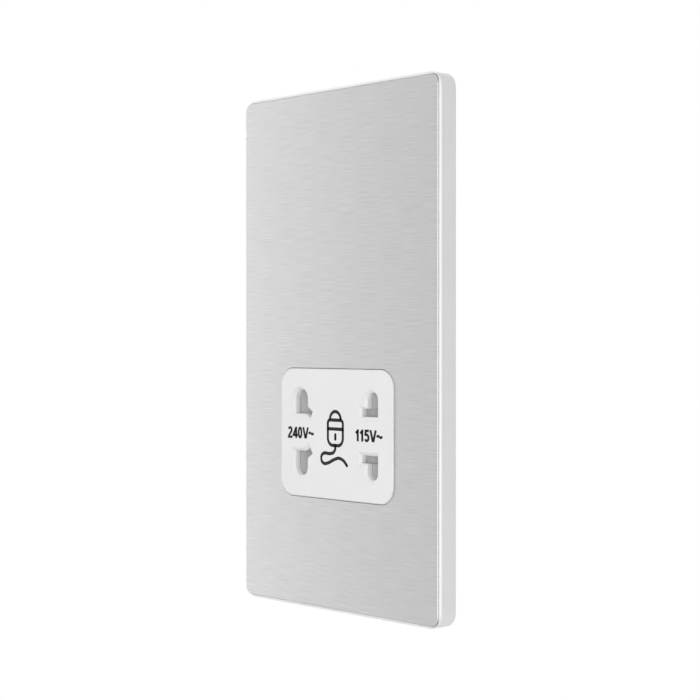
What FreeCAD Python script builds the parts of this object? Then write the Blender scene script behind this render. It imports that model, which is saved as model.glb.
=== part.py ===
import FreeCAD
import Part
import Sketcher
import math
import os

# Dual-voltage shaver supply socket, millimetres.
# X to the right, Y into the wall, Z up. The wall plane is Y = 0 and the origin
# is midway between the two fixing holes. Sketches on the XZ plane rise towards
# the room, so a "level" is a distance in front of the wall plane.

SIZES = {
    # plate seen from the room
    "plate_width": 86.0,
    "plate_height": 147.0,
    "plate_corner": 4.4,
    "frame_depth": 5.6,
    "frame_draft": 0.2,
    "frame_wall": 2.0,
    "rim_width": 0.75,
    "rim_bevel": 0.45,
    "web_thick": 2.0,
    "facia_gap": 0.05,
    "facia_corner": 2.4,
    "facia_thick": 0.9,
    "facia_proud": 0.2,
    "facia_bevel": 0.1,
    "carrier_thick": 1.2,
    "carrier_gap": 0.4,
    # fixing to the wall box
    "fixing_spacing": 120.6,
    "fixing_hole": 3.8,
    "fixing_sink": 7.4,
    "fixing_boss": 12.0,
    "head_clear": 9.0,
    "rib_thick": 1.4,
    # snap hooks that hold the facia carrier
    "hook_inset": 4.0,
    "hook_pitch": 50.0,
    "hook_width": 8.0,
    "hook_thick": 1.0,
    "hook_barb": 0.6,
    "hook_tip": 1.1,
    "hook_flex": 0.9,
    "fit_gap": 0.1,
    # socket insert and its box
    "insert_width": 49.2,
    "insert_height": 36.6,
    "insert_corner": 5.2,
    "insert_proud": 0.35,
    "insert_bevel": 0.25,
    "insert_gap": 0.12,
    "insert_drop": 23.7,
    "face_thick": 1.95,
    "flange_lap": 0.8,
    "skirt_width": 56.8,
    "skirt_height": 39.8,
    "skirt_corner": 5.0,
    "skirt_wall": 1.2,
    "skirt_back": 1.0,
    "window_gap": 0.2,
    # pin openings, measured from the centre of the insert
    "hole_bevel": 0.8,
    "gap_half": 5.28,
    "high_x": 15.8,
    "high_width": 5.7,
    "high_reach": 12.35,
    "blade_angle": 30.0,
    "blade_slot": 2.2,
    "blade_length": 6.6,
    "blade_end_x": 4.35,
    "blade_end_z": 5.0,
    "low_x": 15.5,
    "low_width": 4.5,
    "low_reach": 12.1,
    "flat_width": 6.78,
    "flat_slot": 2.25,
    # shutters and their springs
    "shutter_gap": 0.5,
    "shutter_thick": 4.6,
    "shutter_lap": 0.35,
    "low_travel": 7.2,
    "shutter_bridge": 3.0,
    "ramp_floor": 1.1,
    "ramp_land": 0.75,
    "groove_width": 0.7,
    "groove_depth": 0.6,
    "rail_thick": 1.0,
    "rail_gap": 0.2,
    "coil_width": 3.6,
    "coil_wire": 0.45,
    "coil_turns": 5.0,
    "spigot_length": 1.5,
    # contact carrier and contacts
    "base_depth": 15.0,
    "base_floor": 1.5,
    "well_gap": 0.3,
    "brass_thick": 0.5,
    "leaf_height": 6.0,
    "leaf_mouth": 5.0,
    "leaf_throat": 3.6,
    "leaf_front": 3.0,
    "bar_depth": 3.0,
    "tail_width": 2.0,
    "tail_length": 3.0,
    "boss_z": 15.9,
    "boss_width": 4.6,
    "socket_screw": 2.2,
    "screw_head": 5.0,
    "screw_head_high": 1.7,
    "socket_screw_long": 7.5,
    "socket_screw_seat": 5.0,
    # isolating transformer
    "core_width": 54.0,
    "core_height": 45.0,
    "core_leg": 18.0,
    "core_window": 9.0,
    "core_opening": 27.0,
    "coil_front": 0.9,
    "coil_back_gap": 1.4,
    "core_z": 26.5,
    "bobbin_wall": 1.0,
    "bobbin_gap": 0.15,
    "bobbin_reach": 8.6,
    "winding_inset": 0.8,
    "tape_thick": 0.3,
    "tag_width": 0.9,
    "tag_length": 3.5,
    "tag_pitch": 6.0,
    "cutout_width": 11.0,
    "cutout_height": 6.0,
    "cutout_thick": 2.5,
    # rear housing
    "housing_width": 65.0,
    "housing_top": 53.5,
    "terminal_drop": 8.9,
    "housing_step": -2.0,
    "housing_low": 27.0,
    "housing_deep": 42.5,
    "housing_wall": 2.0,
    "housing_corner": 4.0,
    "housing_bevel": 1.2,
    "ear_width": 11.0,
    "ear_height": 5.8,
    "ear_thick": 3.0,
    "ear_x": 22.0,
    "ear_screw": 2.9,
    "ear_boss": 6.0,
    "ear_boss_rise": 1.0,
    "pillar_width": 5.0,
    "pillar_inset": 2.5,
    # terminals
    "terminal_pitch": 18.0,
    "terminal_width": 7.0,
    "terminal_depth": 8.0,
    "terminal_height": 9.0,
    "terminal_bore": 4.2,
    "terminal_bore_y": 3.0,
    "terminal_screw": 2.6,
    "terminal_head": 5.0,
    "terminal_head_high": 2.0,
    "terminal_screw_z": 4.4,
    "well_width": 6.8,
    "entry_width": 4.8,
    "cage_wall": 1.2,
    "cage_lip": 1.5,
    # earth strap and internal leads
    "strap_thick": 0.5,
    "strap_width": 5.0,
    "lead_width": 1.6,
}


class Size:
    """A number together with the sheet formula that gives it."""

    def __init__(self, value, text):
        self.value = float(value)
        self.text = text

    def __float__(self):
        return self.value

    def __add__(self, other):
        other = as_size(other)
        return Size(self.value + other.value, "(%s + %s)" % (self.text, other.text))

    def __sub__(self, other):
        other = as_size(other)
        return Size(self.value - other.value, "(%s - %s)" % (self.text, other.text))

    def __mul__(self, other):
        other = as_size(other)
        return Size(self.value * other.value, "(%s * %s)" % (self.text, other.text))

    def __truediv__(self, other):
        other = as_size(other)
        return Size(self.value / other.value, "(%s / %s)" % (self.text, other.text))

    def __neg__(self):
        return as_size(0) - self

    def __radd__(self, other):
        return as_size(other) + self

    def __rsub__(self, other):
        return as_size(other) - self

    def __rmul__(self, other):
        return as_size(other) * self


def as_size(number):
    if isinstance(number, Size):
        return number
    return Size(number, "(%r)" % float(number))


def size(name):
    return Size(SIZES[name], "dims." + name)


doc = FreeCAD.newDocument("shaver_socket")
sheet = doc.addObject("Spreadsheet::Sheet", "dims")
for row, (alias, number) in enumerate(SIZES.items(), start=1):
    sheet.set("A%d" % row, alias)
    sheet.set("B%d" % row, str(number))
    sheet.setAlias("B%d" % row, alias)
doc.recompute()

V = FreeCAD.Vector
NODES = []
COIL_STEPS = 8
HEAD_SIDES = 12
SHANK_SIDES = 6

# Levels in front of the wall plane
RIM = size("frame_depth")
FACIA_FRONT = RIM + size("facia_proud")
FACIA_BACK = FACIA_FRONT - size("facia_thick")
WEB_FRONT = FACIA_BACK - size("carrier_thick")
WEB_BACK = WEB_FRONT - size("web_thick")
INSERT_FRONT = FACIA_FRONT + size("insert_proud")
FACE_BACK = INSERT_FRONT - size("face_thick")
SKIRT_BACK = -size("skirt_back")
SHUTTER_FRONT = FACE_BACK - size("shutter_gap")
SHUTTER_BACK = SHUTTER_FRONT - size("shutter_thick")
BASE_BACK = SKIRT_BACK - size("base_depth")
WELL_FLOOR = BASE_BACK + size("base_floor")

# Places shared by several pieces
INSERT_Z = -size("insert_drop")
HOUSING_BOTTOM = INSERT_Z - size("skirt_height") / 2 - size("terminal_drop")
HOOK_X = size("plate_width") / 2 - size("hook_inset")
FLANGE_WIDTH = size("skirt_width") + 2 * size("flange_lap")
FLANGE_HEIGHT = size("skirt_height") + 2 * size("flange_lap")
FACIA_WIDTH = size("plate_width") - 2 * size("rim_width") - 2 * size("facia_gap")
FACIA_HEIGHT = size("plate_height") - 2 * size("rim_width") - 2 * size("facia_gap")
EAR_TOP_Z = size("housing_top") + size("ear_height") / 2
EAR_BOTTOM_Z = HOUSING_BOTTOM - size("ear_height") / 2
CORE_FRONT = -(size("coil_front") + size("bobbin_reach"))
CORE_BACK = (size("coil_back_gap") + size("housing_wall") + size("bobbin_reach")
             - size("housing_deep"))
CORE_STACK = CORE_FRONT - CORE_BACK
CORE_Y = -(CORE_FRONT + CORE_BACK) / 2
HIGH_LEFT = -size("high_x") - size("high_width") / 2
HIGH_RIGHT = -size("high_x") + size("high_width") / 2
LOW_RIGHT = size("low_x") + size("low_width") / 2
LOW_LEFT = LOW_RIGHT - size("flat_width")
SHUTTER_TOP = size("high_reach") + size("shutter_lap")
TERMINAL_BASE_Z = HOUSING_BOTTOM + size("housing_wall") + size("fit_gap")
TERMINAL_BACK = size("housing_low") - size("housing_wall") - 4 * size("fit_gap")
TERMINAL_FRONT = TERMINAL_BACK - size("terminal_depth")
TERMINAL_TOP_Z = TERMINAL_BASE_Z + size("terminal_height")
CONTACT_Z = (size("gap_half") + size("high_reach")) / 2


def new_body(name, x=None, z=None):
    """An empty body that becomes one node; x and z move its own origin."""
    body = doc.addObject("PartDesign::Body", name)
    body.Label = name
    if x is not None:
        body.setExpression("Placement.Base.x", as_size(x).text)
    if z is not None:
        body.setExpression("Placement.Base.z", as_size(z).text)
    NODES.append(body)
    return body


def new_sketch(body, name, level=0, x=0, z=0, plane="XZ_Plane"):
    """A sketch on one of the body's own planes, lifted by level along its normal."""
    sketch = body.newObject("Sketcher::SketchObject", name)
    support = [item for item in body.Origin.OriginFeatures if item.Role == plane]
    sketch.AttachmentSupport = [(support[0], "")]
    sketch.MapMode = "FlatFace"
    sketch.setExpression("AttachmentOffset.Base.x", as_size(x).text)
    sketch.setExpression("AttachmentOffset.Base.y", as_size(z).text)
    sketch.setExpression("AttachmentOffset.Base.z", as_size(level).text)
    return sketch


def bind(sketch, constraint, amount):
    """Adds a driving constraint and ties it to the sheet."""
    number = sketch.addConstraint(constraint)
    sketch.renameConstraint(number, "size%d" % number)
    sketch.setExpression("Constraints.size%d" % number, as_size(amount).text)


def add_rectangle(sketch, width, height, radius=None):
    """A rectangle centred on the sketch's own origin, with rounded corners if asked."""
    w = float(width) / 2
    h = float(height) / 2
    r = float(radius) if radius is not None else 0.0
    first = sketch.GeometryCount
    ends = [
        ((-w + r, -h), (w - r, -h)),
        ((w, -h + r), (w, h - r)),
        ((w - r, h), (-w + r, h)),
        ((-w, h - r), (-w, -h + r)),
    ]
    for start, end in ends:
        sketch.addGeometry(Part.LineSegment(V(start[0], start[1], 0), V(end[0], end[1], 0)))
    if r:
        centres = [(w - r, -h + r), (w - r, h - r), (-w + r, h - r), (-w + r, -h + r)]
        for corner, centre in enumerate(centres):
            circle = Part.Circle(V(centre[0], centre[1], 0), V(0, 0, 1), r)
            turn = (corner - 1) * math.pi / 2
            sketch.addGeometry(Part.ArcOfCircle(circle, turn, turn + math.pi / 2))
        for side in range(4):
            arc = first + 4 + side
            sketch.addConstraint(Sketcher.Constraint("Tangent", first + side, 2, arc, 1))
            sketch.addConstraint(
                Sketcher.Constraint("Tangent", arc, 2, first + (side + 1) % 4, 1)
            )
        for side in range(1, 4):
            sketch.addConstraint(Sketcher.Constraint("Equal", first + 4, first + 4 + side))
        bind(sketch, Sketcher.Constraint("Radius", first + 4, r), radius)
    else:
        for side in range(4):
            sketch.addConstraint(
                Sketcher.Constraint("Coincident", first + side, 2, first + (side + 1) % 4, 1)
            )
    for side, kind in enumerate(("Horizontal", "Vertical", "Horizontal", "Vertical")):
        sketch.addConstraint(Sketcher.Constraint(kind, first + side))
    sketch.addConstraint(Sketcher.Constraint("Symmetric", first, 1, first + 2, 1, -1, 1))
    bind(
        sketch,
        Sketcher.Constraint("DistanceX", first + 3, 1, first + 1, 1, 2 * w),
        width,
    )
    bind(
        sketch,
        Sketcher.Constraint("DistanceY", first, 1, first + 2, 1, 2 * h),
        height,
    )


def add_circle(sketch, x, z, diameter):
    """A circle at x, z of the sketch, tied to the sheet."""
    index = sketch.addGeometry(
        Part.Circle(V(float(x), float(z), 0), V(0, 0, 1), float(diameter) / 2)
    )
    bind(sketch, Sketcher.Constraint("Diameter", index, float(diameter)), diameter)
    for kind, amount in (("DistanceX", x), ("DistanceY", z)):
        if float(amount):
            bind(sketch, Sketcher.Constraint(kind, -1, 1, index, 3, float(amount)), amount)
        else:
            side = -2 if kind == "DistanceX" else -1
            sketch.addConstraint(Sketcher.Constraint("PointOnObject", index, 3, side))


def add_outline(sketch, points):
    """A closed outline of straight lines through points worked out from the sizes."""
    corners = [V(float(x), float(z), 0) for x, z in points]
    for start, end in zip(corners, corners[1:] + corners[:1]):
        sketch.addGeometry(Part.LineSegment(start, end))


def pad(body, sketch, length, name, reverse=False):
    feature = body.newObject("PartDesign::Pad", name)
    feature.Profile = sketch
    feature.Reversed = reverse
    feature.setExpression("Length", as_size(length).text)
    sketch.Visibility = False
    return feature


def pocket(body, sketch, length, name, reverse=False):
    """A cut away from the sketch's normal, or along it when reversed."""
    feature = body.newObject("PartDesign::Pocket", name)
    feature.Profile = sketch
    feature.Reversed = reverse
    feature.setExpression("Length", as_size(length).text)
    sketch.Visibility = False
    return feature


def plate_pad(body, name, level, length, width, height, radius=None, x=0, z=0):
    sketch = new_sketch(body, name + "_outline", level, x, z)
    add_rectangle(sketch, width, height, radius)
    return pad(body, sketch, length, name)


def plate_cut(body, name, level, length, width, height, radius=None, x=0, z=0):
    """A rectangular cut that starts at level and goes towards the wall."""
    sketch = new_sketch(body, name + "_outline", level, x, z)
    add_rectangle(sketch, width, height, radius)
    return pocket(body, sketch, length, name)


def bevel_edges(body, name, amount, wanted):
    """Bevels every edge of the body's last feature that the test picks out."""
    doc.recompute()
    base = body.Tip
    picked = []
    for index, edge in enumerate(base.Shape.Edges, start=1):
        if wanted(edge):
            picked.append("Edge%d" % index)
    if not picked:
        raise ValueError("no edge for " + name)
    feature = body.newObject("PartDesign::Chamfer", name)
    feature.Base = (base, picked)
    feature.setExpression("Size", as_size(amount).text)
    base.Visibility = False




def at_level(edge, level):
    """True where the whole edge lies at one distance in front of the wall."""
    box = edge.BoundBox
    return abs(box.YMin + float(level)) < 1e-4 and abs(box.YMax + float(level)) < 1e-4


def fixing_points():
    half = size("fixing_spacing") / 2
    return [(0, half), (0, -half)]


def ear_points():
    points = []
    for side in (-1, 1):
        points.append((side * size("ear_x"), EAR_TOP_Z))
        points.append((side * size("ear_x"), EAR_BOTTOM_Z))
    return points


def hook_heights():
    pitch = size("hook_pitch")
    return [-pitch, as_size(0), pitch]


def pillar_points():
    """The four corners at which the core is carried."""
    reach_x = size("core_width") / 2 - size("pillar_inset")
    reach_z = size("core_height") / 2 - size("pillar_inset")
    points = []
    for side in (-1, 1):
        for end in (-1, 1):
            points.append((side * reach_x, size("core_z") + end * reach_z))
    return points


def make_plate_frame():
    """White moulded frame: tapered rim, recess for the facia, web and bosses."""
    body = new_body("plate_frame")
    front = new_sketch(body, "rim_outline", RIM)
    add_rectangle(front, size("plate_width"), size("plate_height"), size("plate_corner"))
    back = new_sketch(body, "wall_outline", 0)
    add_rectangle(
        back,
        size("plate_width") - 2 * size("frame_draft"),
        size("plate_height") - 2 * size("frame_draft"),
        size("plate_corner") - size("frame_draft"),
    )
    loft = body.newObject("PartDesign::AdditiveLoft", "rim_loft")
    loft.Profile = back
    loft.Sections = [front]
    loft.Ruled = True
    bevel_edges(body, "rim_bevel", size("rim_bevel"), lambda edge: at_level(edge, RIM))
    plate_cut(
        body,
        "facia_recess",
        RIM,
        RIM - WEB_FRONT,
        FACIA_WIDTH + 2 * size("facia_gap"),
        FACIA_HEIGHT + 2 * size("facia_gap"),
        size("facia_corner") + size("facia_gap"),
    )
    plate_cut(
        body,
        "back_hollow",
        WEB_BACK,
        WEB_BACK,
        size("plate_width") - 2 * size("frame_wall"),
        size("plate_height") - 2 * size("frame_wall"),
    )
    half_rib = size("plate_width") / 2 - size("frame_wall") / 2
    for end, (x, z) in enumerate(fixing_points()):
        plate_pad(body, "fixing_boss_%d" % end, 0, WEB_BACK, size("fixing_boss"),
                  size("fixing_boss"), x=x, z=z)
        plate_pad(body, "rib_%d" % end, size("fit_gap"), WEB_BACK - size("fit_gap"),
                  2 * half_rib, size("rib_thick"), z=z)
    for index, (x, z) in enumerate(ear_points()):
        plate_pad(body, "ear_boss_%d" % index, WEB_FRONT, size("ear_boss_rise"),
                  size("ear_boss"), size("ear_boss"), x=x, z=z)
    pilots = new_sketch(body, "ear_pilot_outline", WEB_BACK)
    for x, z in ear_points():
        add_circle(pilots, x, z, size("ear_screw") + size("fit_gap"))
    pocket(body, pilots, size("web_thick") + size("ear_boss_rise") / 2, "ear_pilots", reverse=True)
    for index, (x, z) in enumerate(pillar_points()):
        plate_pad(body, "core_pillar_%d" % index, CORE_FRONT, WEB_BACK - CORE_FRONT,
                  size("pillar_width"), size("pillar_width"), x=x, z=z)
    plate_cut(
        body,
        "insert_window",
        WEB_FRONT,
        size("web_thick"),
        size("skirt_width") + 2 * size("window_gap"),
        size("skirt_height") + 2 * size("window_gap"),
        size("skirt_corner") + size("window_gap"),
        z=INSERT_Z,
    )
    reach = size("hook_flex") + size("hook_thick") + size("fit_gap")
    inward = (size("hook_flex") - size("fit_gap")) / 2
    for side in (-1, 1):
        for end, height in enumerate(hook_heights()):
            plate_cut(body, "hook_window_%d_%d" % (side + 1, end), WEB_FRONT, size("web_thick"),
                      reach, size("hook_width") + 4 * size("fit_gap"),
                      x=side * (HOOK_X - inward), z=height)
    plate_cut(body, "strap_slot", WEB_FRONT, size("web_thick"), size("strap_width") + 1,
              strap_slot_height(), z=strap_slot_z())
    doc.recompute()
    holes = new_sketch(body, "fixing_hole_outline", WEB_FRONT)
    for x, z in fixing_points():
        add_circle(holes, x, z, size("fixing_hole"))
    doc.recompute()
    before = body.Shape.Volume
    hole = body.newObject("PartDesign::Hole", "fixing_holes")
    hole.Profile = holes
    hole.DepthType = "ThroughAll"
    hole.Threaded = False
    hole.HoleCutType = "Countersink"
    hole.HoleCutCustomValues = True
    hole.HoleCutCountersinkAngle = 90
    hole.setExpression("Diameter", size("fixing_hole").text)
    hole.setExpression("HoleCutDiameter", size("fixing_sink").text)
    holes.Visibility = False
    doc.recompute()
    if not body.Shape.Volume < before:
        raise ValueError("the fixing holes cut nothing")


def strap_slot_height():
    return 3 * size("terminal_bore_y") / 2


def strap_slot_z():
    """The earth strap leaves through the web just under the socket box."""
    return INSERT_Z - FLANGE_HEIGHT / 2 - strap_slot_height() / 2 - size("facia_thick")


def make_clip_carrier():
    """Plastic backing of the facia, with six snap hooks behind it."""
    body = new_body("clip_carrier")
    inset = size("carrier_gap") - size("facia_gap")
    plate_pad(
        body,
        "plate",
        WEB_FRONT,
        size("carrier_thick"),
        FACIA_WIDTH - 2 * inset,
        FACIA_HEIGHT - 2 * inset,
        size("facia_corner") - inset,
    )
    plate_cut(
        body,
        "insert_window",
        FACIA_BACK,
        size("carrier_thick"),
        FLANGE_WIDTH + 2 * size("window_gap"),
        FLANGE_HEIGHT + 2 * size("window_gap"),
        size("skirt_corner") + size("window_gap"),
        z=INSERT_Z,
    )
    for index, (x, z) in enumerate(fixing_points()):
        plate_cut(body, "head_window_%d" % index, FACIA_BACK, size("carrier_thick"),
                  size("head_clear"), size("head_clear"), x=x, z=z)
    for index, (x, z) in enumerate(ear_points()):
        plate_cut(body, "ear_window_%d" % index, FACIA_BACK, size("carrier_thick"),
                  size("ear_boss") + 4 * size("fit_gap"),
                  size("ear_boss") + 4 * size("fit_gap"), x=x, z=z)
    plate_cut(body, "strap_slot", FACIA_BACK, size("carrier_thick"), size("strap_width") + 1,
              strap_slot_height(), z=strap_slot_z())
    half = float(size("hook_thick")) / 2
    barb = float(size("hook_barb"))
    root = -float(WEB_FRONT)
    catch = -float(WEB_BACK) + float(size("fit_gap")) / 2
    tip = catch + float(size("hook_tip"))
    for side in (-1, 1):
        for end, height in enumerate(hook_heights()):
            profile = new_sketch(body, "hook_profile_%d_%d" % (side + 1, end),
                                 height - size("hook_width") / 2, plane="XY_Plane")
            centre = side * float(HOOK_X)
            points = [(-half, root), (-half, tip), (half - 0.3 * barb, tip),
                      (half + barb, catch + 0.3 * barb), (half + barb, catch),
                      (half, catch), (half, root)]
            add_outline(profile, [(centre + side * x, y) for x, y in points])
            pad(body, profile, size("hook_width"), "hook_%d_%d" % (side + 1, end))


def make_front_plate():
    """Brushed steel facia with a window for the insert."""
    body = new_body("front_plate")
    plate_pad(body, "plate", FACIA_BACK, size("facia_thick"), FACIA_WIDTH, FACIA_HEIGHT,
              size("facia_corner"))
    plate_cut(
        body,
        "insert_window",
        FACIA_FRONT,
        size("facia_thick"),
        size("insert_width") + 2 * size("insert_gap"),
        size("insert_height") + 2 * size("insert_gap"),
        size("insert_corner") + size("insert_gap"),
        z=INSERT_Z,
    )
    bevel_edges(body, "edge_bevel", size("facia_bevel"),
                lambda edge: at_level(edge, FACIA_FRONT))


def high_hole_outline(end):
    """One 240 V pin opening: flat inner end, round outer end."""
    left = float(HIGH_LEFT)
    right = float(HIGH_RIGHT)
    inner = end * float(size("gap_half"))
    radius = (right - left) / 2
    shoulder = end * (float(size("high_reach")) - radius)
    crown = end * float(size("high_reach"))
    middle = (left + right) / 2
    arc = Part.Arc(V(right, shoulder, 0), V(middle, crown, 0), V(left, shoulder, 0))
    return [
        Part.LineSegment(V(left, shoulder, 0), V(left, inner, 0)),
        Part.LineSegment(V(left, inner, 0), V(right, inner, 0)),
        Part.LineSegment(V(right, inner, 0), V(right, shoulder, 0)),
        arc,
    ]


def high_slot_points(end):
    """The slanted blade slot that crosses the inner end of a 240 V opening."""
    angle = math.radians(float(size("blade_angle")))
    along = (math.cos(angle), -math.sin(angle))
    across = (math.sin(angle), math.cos(angle))
    half = float(size("blade_slot")) / 2
    length = float(size("blade_length"))
    far = (float(size("blade_end_x")), float(size("blade_end_z")))
    near = (far[0] - length * along[0], far[1] - length * along[1])
    points = []
    for spot, side in ((far, 1), (far, -1), (near, -1), (near, 1)):
        x = spot[0] + side * half * across[0] - float(size("high_x"))
        z = spot[1] + side * half * across[1]
        points.append((x, end * z))
    return points


def low_hole_outline(end):
    """One 115 V opening: round pin hole and a flat blade slot in one outline."""
    left = float(LOW_LEFT)
    right = float(LOW_RIGHT)
    radius = float(size("low_width")) / 2
    step = right - 2 * radius
    inner = end * float(size("gap_half"))
    ledge = end * (float(size("gap_half")) + float(size("flat_slot")))
    shoulder = end * (float(size("low_reach")) - radius)
    crown = end * float(size("low_reach"))
    arc = Part.Arc(V(right, shoulder, 0), V(right - radius, crown, 0), V(step, shoulder, 0))
    corners = [(step, shoulder), (step, ledge), (left, ledge), (left, inner), (right, inner),
               (right, shoulder)]
    lines = []
    for start, stop in zip(corners, corners[1:]):
        lines.append(Part.LineSegment(V(start[0], start[1], 0), V(stop[0], stop[1], 0)))
    return lines + [arc]


def make_socket_face():
    """White insert: face with the pin openings, flange, skirt, rails and bosses."""
    body = new_body("socket_face", z=INSERT_Z)
    plate_pad(body, "front", FACIA_BACK, INSERT_FRONT - FACIA_BACK, size("insert_width"),
              size("insert_height"), size("insert_corner"))
    bevel_edges(body, "front_bevel", size("insert_bevel"),
                lambda edge: at_level(edge, INSERT_FRONT))
    plate_pad(body, "flange", WEB_FRONT, FACIA_BACK - WEB_FRONT, FLANGE_WIDTH,
              FLANGE_HEIGHT, size("skirt_corner"))
    plate_pad(body, "skirt", SKIRT_BACK, WEB_FRONT - SKIRT_BACK, size("skirt_width"),
              size("skirt_height"), size("skirt_corner"))
    plate_cut(body, "cavity", FACE_BACK, FACE_BACK - SKIRT_BACK,
              size("skirt_width") - 2 * size("skirt_wall"),
              size("skirt_height") - 2 * size("skirt_wall"),
              size("skirt_corner") - size("skirt_wall"))
    rail_length = size("skirt_width") - size("skirt_wall")
    rail_z = SHUTTER_TOP + size("rail_gap") + size("rail_thick") / 2
    for end in (-1, 1):
        name = "top" if end > 0 else "bottom"
        plate_pad(body, "rail_" + name, SHUTTER_BACK, FACE_BACK - SHUTTER_BACK, rail_length,
                  size("rail_thick"), z=end * rail_z)
    post_x = LOW_LEFT - size("shutter_lap") - size("low_travel") - size("rail_thick")
    plate_pad(body, "spring_post", SHUTTER_BACK, FACE_BACK - SHUTTER_BACK, size("rail_thick"),
              size("coil_width") + 1, x=post_x)
    for end in (-1, 1):
        plate_pad(body, "boss_%d" % (end + 1), SKIRT_BACK, FACE_BACK - SKIRT_BACK,
                  size("boss_width"), size("boss_width"), z=end * size("boss_z"))
    pilots = new_sketch(body, "pilot_outline", SKIRT_BACK)
    for end in (-1, 1):
        add_circle(pilots, 0, end * size("boss_z"), size("socket_screw") + size("fit_gap"))
    pocket(body, pilots, FACE_BACK - SKIRT_BACK, "pilots", reverse=True)
    openings = new_sketch(body, "opening_outline", INSERT_FRONT)
    for end in (-1, 1):
        for line in high_hole_outline(end) + low_hole_outline(end):
            openings.addGeometry(line)
    pocket(body, openings, size("face_thick"), "openings")
    slots = new_sketch(body, "blade_slot_outline", INSERT_FRONT)
    for end in (-1, 1):
        add_outline(slots, high_slot_points(end))
    pocket(body, slots, size("face_thick"), "blade_slots")
    limit = float(size("insert_width")) / 2 - float(size("insert_corner"))
    bevel_edges(body, "opening_bevel", size("hole_bevel"),
                lambda edge: at_level(edge, INSERT_FRONT)
                and abs(edge.CenterOfMass.x) < limit
                and abs(edge.CenterOfMass.z) < float(size("high_reach")) + 1)


def make_shutter(name, left, right, top, bridge_right, ramps):
    """A sliding shutter: two covers, the bridge between them and the cam ramps."""
    body = new_body(name, z=INSERT_Z)
    inner = float(size("gap_half")) - float(size("shutter_lap"))
    left, right, top = float(left), float(right), float(top)
    bridge_left = float(bridge_right) - float(size("shutter_bridge"))
    outline = new_sketch(body, "outline", SHUTTER_BACK)
    add_outline(outline, [(left, top), (right, top), (right, -top), (left, -top),
                          (left, -inner), (bridge_left, -inner), (bridge_left, inner),
                          (left, inner)])
    pad(body, outline, size("shutter_thick"), "plate")
    front = -float(SHUTTER_FRONT)
    for index, (start, stop, depth, low, high) in enumerate(ramps):
        for end in (-1, 1):
            upper = high if end > 0 else -low
            cut = new_sketch(body, "ramp_profile_%d_%d" % (index, end + 1), upper,
                             plane="XY_Plane")
            add_outline(cut, [(start, front - 1), (start, front), (stop, front + float(depth)),
                              (stop, front - 1)])
            pocket(body, cut, as_size(high) - low, "ramp_%d_%d" % (index, end + 1))
    side = (size("coil_width") - 2.6 * size("coil_wire")) / math.sqrt(2)
    spigot = new_sketch(body, "spigot_outline", bridge_left, plane="YZ_Plane",
                        x=-(SHUTTER_FRONT + SHUTTER_BACK) / 2)
    add_rectangle(spigot, side, side)
    pad(body, spigot, size("spigot_length"), "spigot", reverse=True)
    return bridge_left


def make_shutters():
    lap = size("shutter_lap")
    floor = size("shutter_thick") - size("ramp_floor")
    inner = size("gap_half") - lap / 2
    slant = math.sin(math.radians(SIZES["blade_angle"])) / 2
    slot_tip = size("blade_end_x") + size("blade_slot") * slant - size("high_x")
    high_right = slot_tip + lap
    high_ramp = (float(HIGH_LEFT + size("ramp_land")), float(slot_tip), floor, inner,
                 size("high_reach") + lap / 2)
    high_seat = make_shutter("shutter_240", HIGH_LEFT - lap, high_right, SHUTTER_TOP, high_right,
                             [high_ramp])
    low_right = LOW_RIGHT + lap
    ledge = size("gap_half") + size("flat_slot")
    groove_start = LOW_LEFT + size("ramp_land")
    land = groove_start + size("groove_width")
    groove = (float(groove_start), float(land), size("groove_depth"), inner, ledge)
    flat_ramp = (float(land), float(LOW_RIGHT + lap / 2), floor - size("groove_depth"), inner,
                 ledge)
    pin_ramp = (float(LOW_RIGHT - size("low_width") + size("ramp_land")),
                float(LOW_RIGHT + lap / 2), floor, ledge, size("low_reach") + lap / 2)
    low_seat = make_shutter("shutter_115", LOW_LEFT - lap, low_right, SHUTTER_TOP, low_right,
                            [groove, flat_ramp, pin_ramp])
    return high_seat, low_seat


def ring_wire(centre, heading, radius):
    """A closed six-sided wire about centre, square to heading."""
    turn = FreeCAD.Rotation(V(0, 0, 1), heading)
    points = []
    for side in range(7):
        angle = side * math.pi / 3
        points.append(centre + turn.multVec(V(radius * math.cos(angle),
                                              radius * math.sin(angle), 0)))
    return Part.makePolygon(points)


def make_spring(name, start, stop):
    """A helical return spring that lies along X between its post and a shutter."""
    wire = float(size("coil_wire"))
    radius = (float(size("coil_width")) - wire) / 2
    height = float(stop) - float(start) - wire
    steps = int(round(float(size("coil_turns")) * COIL_STEPS))
    points = []
    for step in range(steps + 1):
        turn = 2 * math.pi * step / COIL_STEPS
        points.append(V(radius * math.cos(turn), radius * math.sin(turn), height * step / steps))
    section = ring_wire(points[0], points[1] - points[0], wire / 2)
    coil = Part.makePolygon(points).makePipeShell([section], True, False, 1)
    feature = doc.addObject("Part::Feature", name)
    feature.Label = name
    feature.Shape = coil
    middle = -float(SHUTTER_FRONT + SHUTTER_BACK) / 2
    feature.Placement = FreeCAD.Placement(
        V(float(start) + wire / 2, middle, float(INSERT_Z)),
        FreeCAD.Rotation(V(0, 1, 0), 90),
    )
    NODES.append(feature)


def strip_outline(points, thickness):
    """Closed outline of a bent strip, the same distance to both sides of its line."""
    half = float(thickness) / 2
    spots = [V(float(x), float(y), 0) for x, y in points]
    heads = [(after - before).normalize() for before, after in zip(spots, spots[1:])]
    sides = [V(-head.y, head.x, 0) for head in heads]
    near, far = [], []
    for spot, before, after in zip(spots, sides[:1] + sides, sides + sides[-1:]):
        across = (before + after).normalize()
        reach = half / across.dot(after)
        near.append((spot + across * reach)[0:2])
        far.append((spot - across * reach)[0:2])
    return near + far[::-1]


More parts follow.
